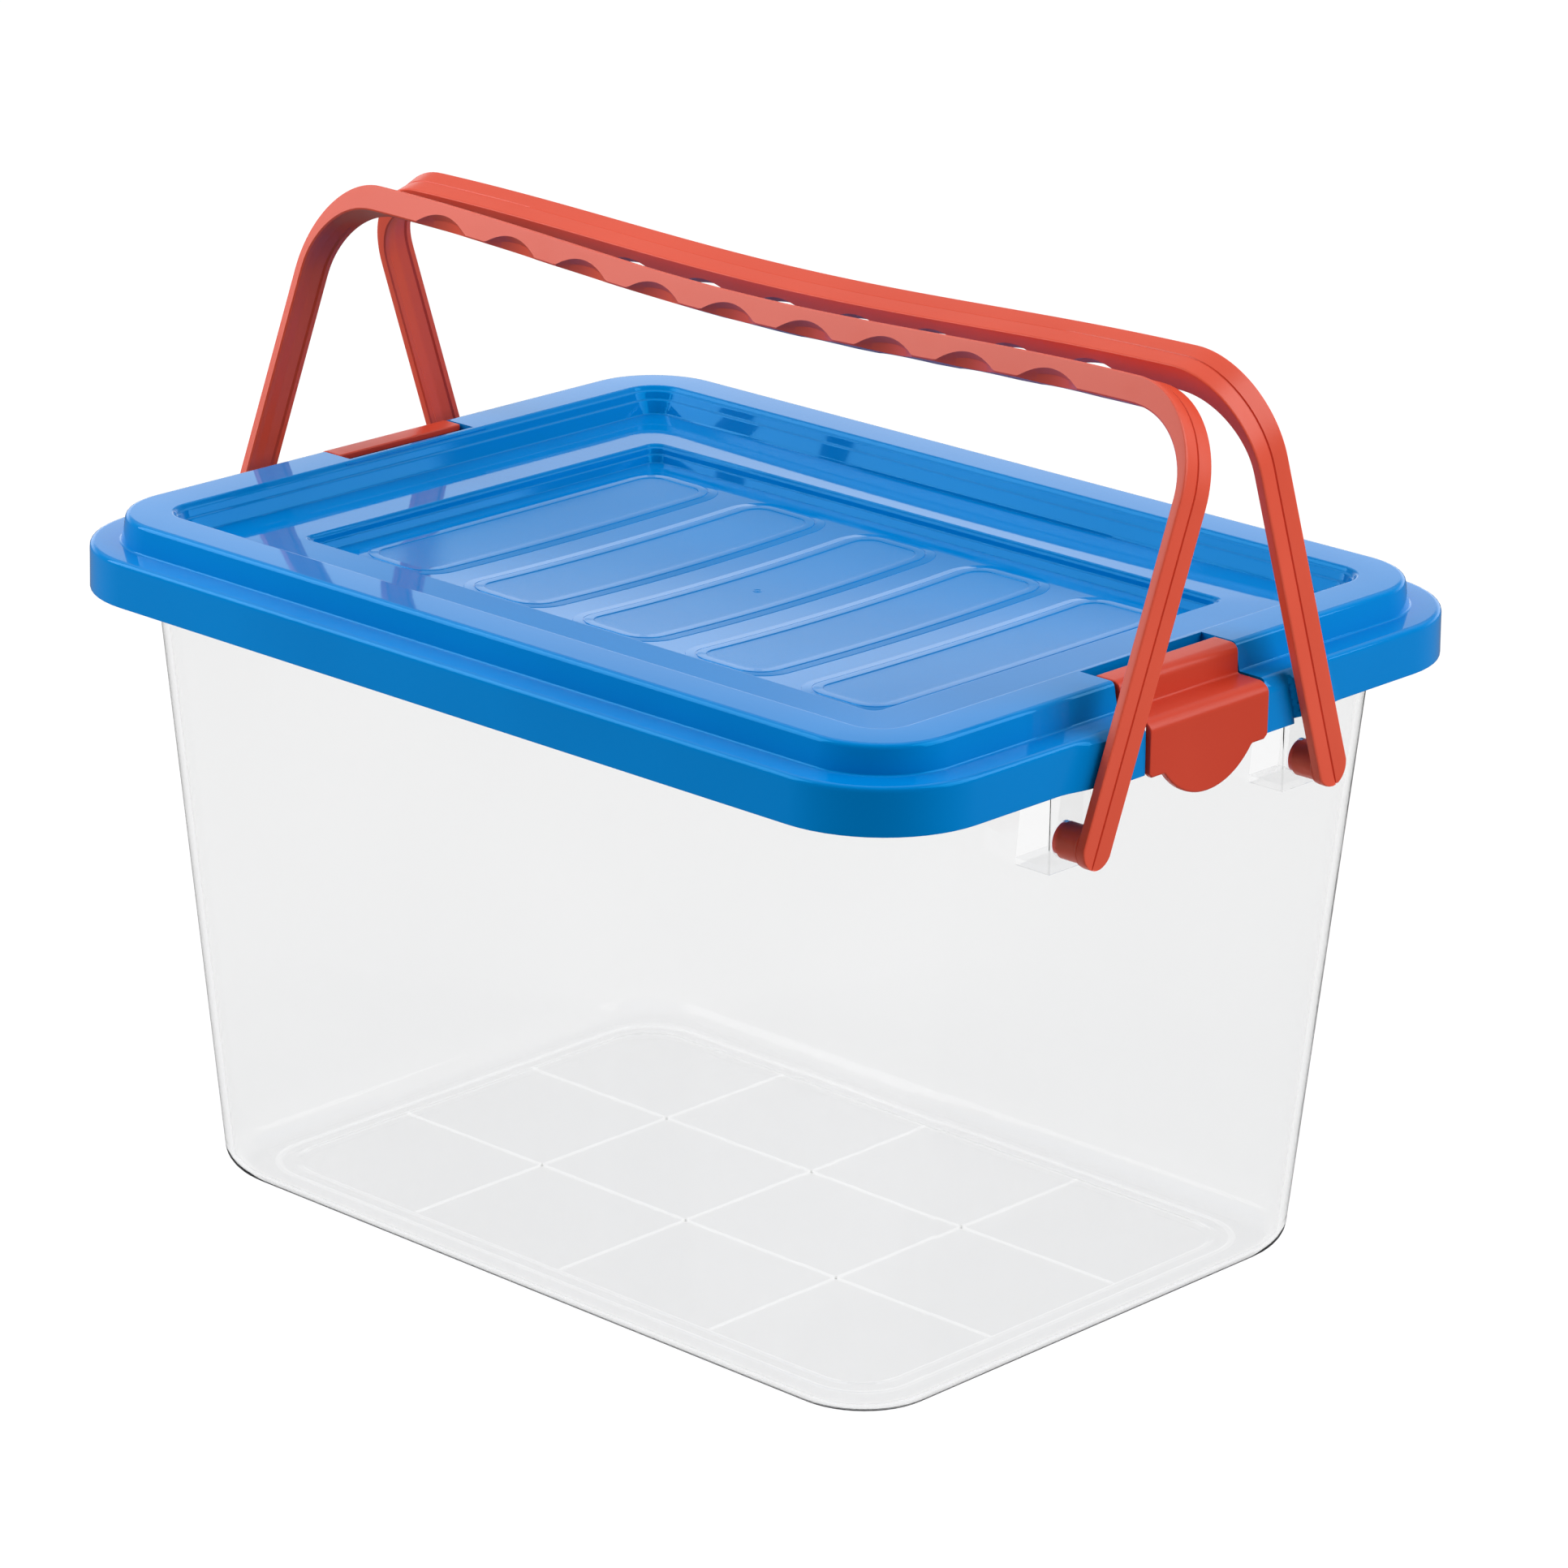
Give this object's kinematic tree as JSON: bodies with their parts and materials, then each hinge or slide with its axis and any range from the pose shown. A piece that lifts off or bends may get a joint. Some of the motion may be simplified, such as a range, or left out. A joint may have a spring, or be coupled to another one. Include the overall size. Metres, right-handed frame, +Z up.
{
  "type": "storage box",
  "caption": "Clear tapered carry box with a stepped snap lid, swinging bail handles with finger grips, and end latches.",
  "frame": {"origin": "centre of the box's foot, on the ground", "axes": "+X along the long side, +Y towards the rear handle, +Z up; handles upright and leaning together at rest"},
  "size_m": [0.4144, 0.3048, 0.3433],
  "materials": {
    "clear_body": "clear, faintly frosted polypropylene",
    "lid_blue": "high gloss, with fine matt panels",
    "handle_red": "satin",
    "latch_red": "satin"
  },
  "bodies": {
    "box": {"box_body": "clear_body"},
    "lid": {"lid": "lid_blue"},
    "handle_front": {"handle_front": "handle_red"},
    "handle_rear": {"handle_rear": "handle_red"},
    "latch_right": {"latch_right": "latch_red"},
    "latch_left": {"latch_left": "latch_red"}
  },
  "joints": [
    {"name": "handle_front_swing", "type": "hinge", "parent": "box", "child": "handle_front", "pos_m": [0, -0.0595, 0.2], "axis": [1, 0, 0], "range_deg": [0, 166]},
    {"name": "handle_rear_swing", "type": "hinge", "parent": "box", "child": "handle_rear", "pos_m": [0, 0.0595, 0.2], "axis": [-1, 0, 0], "range_deg": [0, 163]},
    {"name": "lid_lift", "type": "slide", "parent": "box", "child": "lid", "axis": [0, 0, 1], "range_m": [0, 0.07]},
    {"name": "latch_right_swing", "type": "hinge", "parent": "lid", "child": "latch_right", "pos_m": [0.1814, 0, 0.2424], "axis": [0, -1, 0], "range_deg": [0, 60]},
    {"name": "latch_left_swing", "type": "hinge", "parent": "lid", "child": "latch_left", "pos_m": [-0.1814, 0, 0.2424], "axis": [0, 1, 0], "range_deg": [0, 60]}
  ]
}
